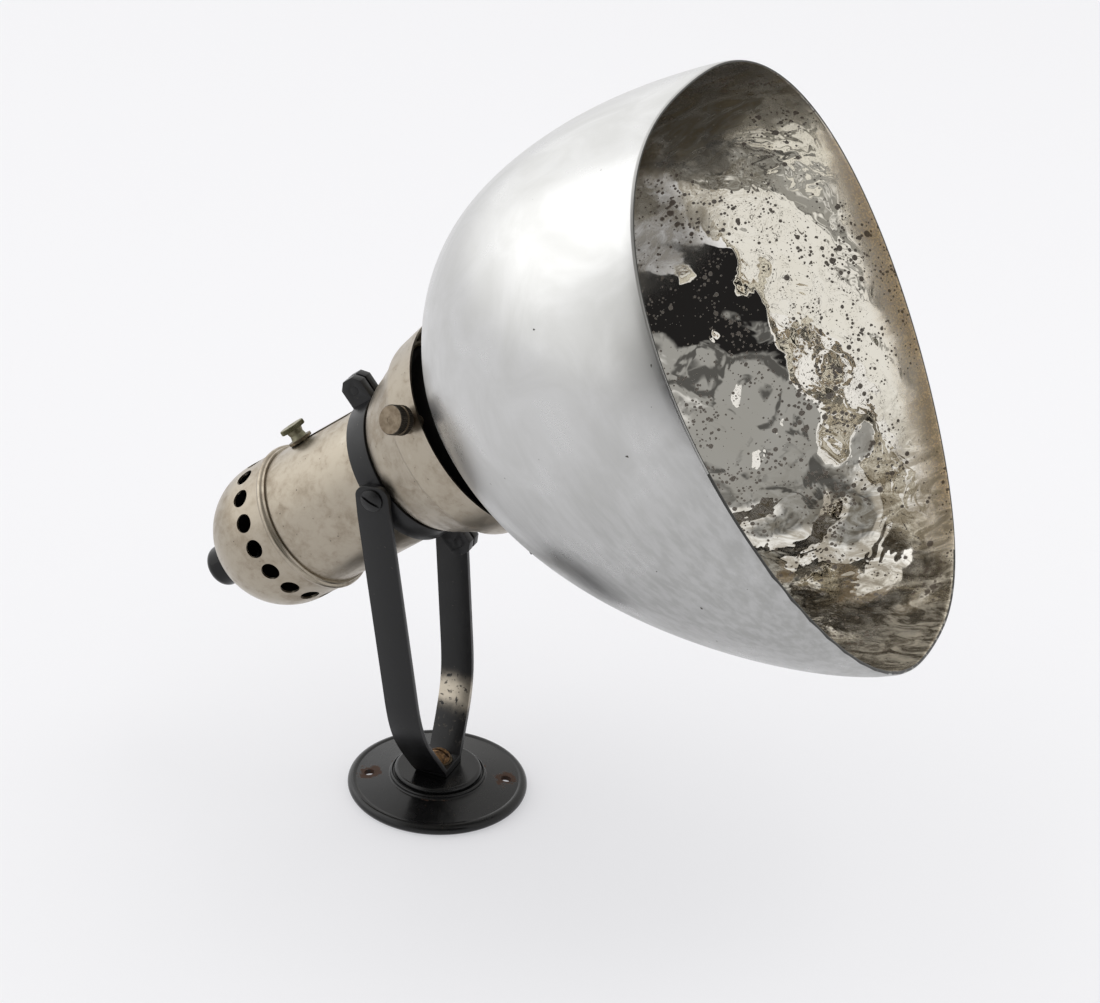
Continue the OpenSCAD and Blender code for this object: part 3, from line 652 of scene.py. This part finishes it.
# The ripples run in flutes that are crossed by waves. They die out at the neck and at the
# rim, and are at their full depth only at the back of the bowl and in its lower part.
RIPPLE = 0.75 * MM
RIM_RIPPLE = 0.22
FLUTES = 20
noise.seed_set(1)   # without a seed the ripples would differ at each run
normals = [v.normal.copy() for v in mesh.vertices]
for index in sorted(inside - keep):
    vertex = mesh.vertices[index]
    spot = from_head(vertex.co)
    depth = from_mouth(spot)
    deep = share(depth, 8 * MM, 83 * MM)
    deep = deep * deep * (3 - 2 * deep)
    low = share(-spot.z, 20 * MM, 100 * MM)
    fade = share(depth, 0, 12 * MM) * share(spot.x, 50 * MM, 64 * MM)
    fade *= RIM_RIPPLE + (1 - RIM_RIPPLE) * max(deep, 0.75 * low)
    angle = math.atan2(spot.y, spot.z + 0.4 * (spot.x - 50 * MM))
    warp = noise.noise_vector(vertex.co * 22)
    across = angle * FLUTES + spot.x * 60 + 1.3 * warp.x
    along = spot.x * 215 + angle * 2 + 1.5 * warp.y
    lumps = 0.55 * math.sin(across) * math.sin(along) + 0.35 * math.sin(along + 1.1 * warp.z)
    small = noise.noise(vertex.co * 70) * 0.35 + noise.noise(vertex.co * 150) * 0.12
    vertex.co += normals[index] * RIPPLE * fade * (lumps + small)
mesh.update()

# Silver on glass: a near-perfect mirror, a little creamy. It has dark specks everywhere, a
# speckled tan band where it has gone at the far rim, soil at the top and mud at the bottom.
silver, tree, shader, place = finish_named("tarnished_silvering")
local = head_place(tree, place)
parts = add(tree, "ShaderNodeSeparateXYZ", {0: local})
upwards = maths(tree, "MULTIPLY", parts.outputs["X"], -1)
depth = maths(tree, "SUBTRACT", MOUTH_AT, maths(
    tree, "SUBTRACT", maths(tree, "MULTIPLY", parts.outputs["Z"], MOUTH_NORMAL.x),
    maths(tree, "MULTIPLY", upwards, -MOUTH_NORMAL.z)))
drawn_out = add(tree, "ShaderNodeMapping", {"Vector": local, "Scale": (1, 1, 0.35)}).outputs[0]
clouds = grain(tree, local, 28, 6, 0.6, 0.8)
streaks = grain(tree, drawn_out, 8, 7, 0.7, 1.2)
dust = grain(tree, local, 0.9, 3, 0.7)
crowd = ramp(tree, grain(tree, local, 26, 4, 0.6), 0.36, 0.66)


def strayed(value, metres):
    """A place in metres whose border wanders with the clouds."""
    return maths(tree, "ADD", value, maths(tree, "MULTIPLY", clouds, metres))


def specks_of(spacing_mm, largest, crowd):
    """Round dark spots of mixed sizes, one to a cell, more of them where crowd is high."""
    cells = add(tree, "ShaderNodeTexVoronoi", {"Vector": local, "Scale": 1 / (spacing_mm * MM)},
                feature="F1")
    chance = add(tree, "ShaderNodeSeparateXYZ", {0: cells.outputs["Color"]}).outputs["X"]
    size = maths(tree, "MULTIPLY", maths(tree, "POWER", chance, 3.0), largest)
    size = maths(tree, "MULTIPLY", size, maths(tree, "ADD", crowd, 0.25))
    return ramp(tree, maths(tree, "SUBTRACT", size, cells.outputs["Distance"]), -0.02, 0.02)


small_specks = maths(tree, "MAXIMUM", specks_of(1.4, 0.62, crowd), specks_of(3.2, 0.46, crowd))
specks = maths(tree, "MAXIMUM", small_specks, specks_of(8.5, 0.19, 0.75))
narrower = ramp(tree, upwards, -0.03, 0.06, 0, 0.013)
from_rim = maths(tree, "ADD", depth, narrower)
rim_band = maths(tree, "MULTIPLY", ramp(tree, strayed(from_rim, 0.022), 0.031, 0.012),
                 ramp(tree, parts.outputs["Y"], 0.02, 0.07))
crown = ramp(tree, strayed(upwards, 0.05), 0.044, 0.076)
deep = maths(tree, "MULTIPLY", ramp(tree, strayed(depth, 0.02), 0.076, 0.088),
             ramp(tree, upwards, -0.008, 0.012))
crown = maths(tree, "MULTIPLY",
              maths(tree, "MAXIMUM", crown, maths(tree, "MULTIPLY", deep, 0.8)),
              ramp(tree, parts.outputs["Y"], 0.02, 0.06))
base = ramp(tree, strayed(upwards, -0.04), -0.150, -0.185)
veil = maths(tree, "MULTIPLY", ramp(tree, strayed(upwards, -0.05), -0.105, -0.150),
             ramp(tree, streaks, 0.62, 0.42))
streaky = ramp(tree, streaks, 0.25, 0.6, 0.6, 1.0)

bright = mix(tree, clouds, srgb("#fcfbf8"), srgb("#f0ede5"))
tan = mix(tree, ramp(tree, dust, 0.35, 0.65), srgb("#94724b"), srgb("#e9d2a8"))
dirty = mix(tree, ramp(tree, streaks, 0.3, 0.7), srgb("#1f1b16"), srgb("#6d6453"))
muddy = mix(tree, ramp(tree, streaks, 0.36, 0.62), srgb("#625744"), srgb("#e6ddca"))
dusty = ramp(tree, dust, 0.2, 0.6, 0.5, 1.0)
colour = mix(tree, maths(tree, "MULTIPLY", rim_band, dusty), bright, tan)
colour = mix(tree, maths(tree, "MULTIPLY", veil, 0.75), colour, srgb("#8f836d"))
colour = mix(tree, maths(tree, "MULTIPLY", crown, streaky), colour, dirty)
colour = mix(tree, maths(tree, "MULTIPLY", base, streaky), colour, muddy)
colour = mix(tree, maths(tree, "MULTIPLY", specks, 0.85), colour, srgb("#44362a"))
tree.links.new(colour, shader.inputs["Base Color"])
soil = maths(tree, "MULTIPLY", maths(tree, "MAXIMUM", crown, base), streaky)
loss = maths(tree, "MAXIMUM", rim_band, maths(tree, "MULTIPLY", soil, 0.5))
loss = maths(tree, "MAXIMUM", loss, specks)
tree.links.new(ramp(tree, loss, 0, 1, 1.0, 0.15), shader.inputs["Metallic"])
tree.links.new(ramp(tree, loss, 0, 1, 0.015, 0.5), shader.inputs["Roughness"])
relief(tree, shader, grain(tree, local, 13, 2, 0.4, 0.6), 0.5, 0.8)

# Aluminium paint, brushed over the silver: a pale satin metal with faint brush marks, a few
# dark nicks, and a colour that grows darker towards the underside.
paint, tree, shader, place = finish_named("satin_aluminium_paint")
local = head_place(tree, place)
smudge = grain(tree, local, 30, 5, 0.6, 0.6)
brushed = add(tree, "ShaderNodeMapping",
              {"Vector": local, "Rotation": (0.4, 0.3, 0), "Scale": (1, 6, 6)}).outputs[0]
brush = grain(tree, brushed, 18, 5, 0.6)
flake = grain(tree, local, 0.6, 2)
nicks = ramp(tree, grain(tree, local, 2.6, 1, 0.5), 0.80, 0.83)
below = ramp(tree, add(tree, "ShaderNodeSeparateXYZ", {0: local}).outputs["X"], -0.02, 0.09)
clean = mix(tree, ramp(tree, smudge, 0.3, 0.7), srgb("#cacac9"), srgb("#c0c0be"))
underside_colour = mix(tree, ramp(tree, brush, 0.35, 0.65), srgb("#a5a5a3"), srgb("#b4b4b3"))
# Darker towards the underside, in smudges.
towards_underside = maths(tree, "MULTIPLY", below, ramp(tree, smudge, 0.2, 0.6, 0.6, 1.0))
colour = mix(tree, towards_underside, clean, underside_colour)
tree.links.new(mix(tree, nicks, colour, srgb("#4b4945")), shader.inputs["Base Color"])
shader.inputs["Metallic"].default_value = 1
rough = maths(tree, "ADD", ramp(tree, smudge, 0.3, 0.7, 0.24, 0.34),
              maths(tree, "MULTIPLY", flake, 0.05))
tree.links.new(rough, shader.inputs["Roughness"])
uneven = maths(tree, "ADD", maths(tree, "MULTIPLY", flake, 0.1), grain(tree, local, 34, 2, 0.5))
relief(tree, shader, uneven, 0.25, 0.25)

# The cut edge of the glass: dark and smooth, with pale chips low down.
edge_glass, tree, shader, place = finish_named("chipped_dark_edge")
chips = ramp(tree, grain(tree, place, 2.4, 5, 0.7), 0.55, 0.6)
low = ramp(tree, add(tree, "ShaderNodeSeparateXYZ", {0: place}).outputs["Z"], 0.16, 0.11)
chipped = maths(tree, "MULTIPLY", chips, low)
tree.links.new(mix(tree, chipped, srgb("#2a2a27"), srgb("#b9b6ae")), shader.inputs["Base Color"])
shader.inputs["Roughness"].default_value = 0.35
relief(tree, shader, grain(tree, place, 2, 4), 0.1, 0.4)

# Painted shadow on the neck's outside, where the gallery's edge meets the glass: matt black, with a fine grain.
neck_shadow, tree, shader, place = finish_named("painted_neck_shadow")
tree.links.new(mix(tree, grain(tree, place, 6, 4), srgb("#0a0a0a"), srgb("#171615")),
               shader.inputs["Base Color"])
shader.inputs["Roughness"].default_value = 0.6
relief(tree, shader, grain(tree, place, 1.5, 3), 0.04, 0.4)
coat(shell, silver, paint, edge_glass, neck_shadow)
for face in mesh.polygons:
    face.use_smooth = True
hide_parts("reflector")
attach(shell, "shade")
